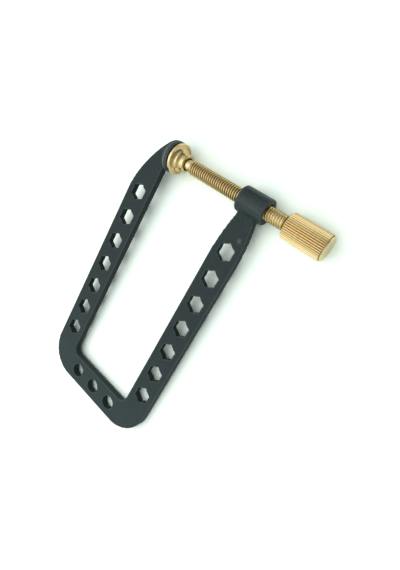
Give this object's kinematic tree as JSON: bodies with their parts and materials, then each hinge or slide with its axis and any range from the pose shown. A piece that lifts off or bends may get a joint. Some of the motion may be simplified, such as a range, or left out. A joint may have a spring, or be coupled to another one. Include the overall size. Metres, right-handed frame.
{
  "type": "deep-throat screw clamp",
  "caption": "Small deep-throat clamp: flat black U-frame with hexagonal lightening holes, and a brass thumbscrew that drives a swivel pad against a round fixed jaw.",
  "frame": {"origin": "middle of the flat back edge of the U-frame's bridge, half way through the plate", "axes": "+X along the screw from the fixed jaw to the knob, +Y from the bridge to the jaws, +Z square to the plate"},
  "size_m": [0.1177, 0.1669, 0.0178],
  "materials": {
    "frame": "matte black coated casting",
    "jaw_facing": "matte black",
    "brass_pad": "turned, bright",
    "ring": "blackened spring wire",
    "brass_screw": "rolled thread, bright",
    "brass_knob": "straight knurled, satin"
  },
  "bodies": {
    "frame": {"frame": "frame", "jaw_facing_disc": "jaw_facing"},
    "ring": {"retaining_ring": "ring"},
    "screw": {"spindle": "brass_screw", "knob": "brass_knob"},
    "pad": {"swivel_pad": "brass_pad"}
  },
  "joints": [
    {"name": "screw_advance", "type": "slide", "parent": "frame", "child": "ring", "axis": [1, 0, 0], "range_m": [0, 0.03669]},
    {"name": "screw_turn", "type": "hinge", "parent": "ring", "child": "screw", "pos_m": [-0.0154, 0.158, 0], "axis": [1, 0, 0], "range_deg": [-40, 9400]},
    {"name": "pad_tilt", "type": "hinge", "parent": "ring", "child": "pad", "pos_m": [-0.0154, 0.158, 0], "axis": [0, 0, 1], "range_deg": [-5, 5]}
  ],
  "couplings": [
    {"joint": "screw_turn", "follows": "screw_advance", "rad_per_m": 4452.6}
  ]
}
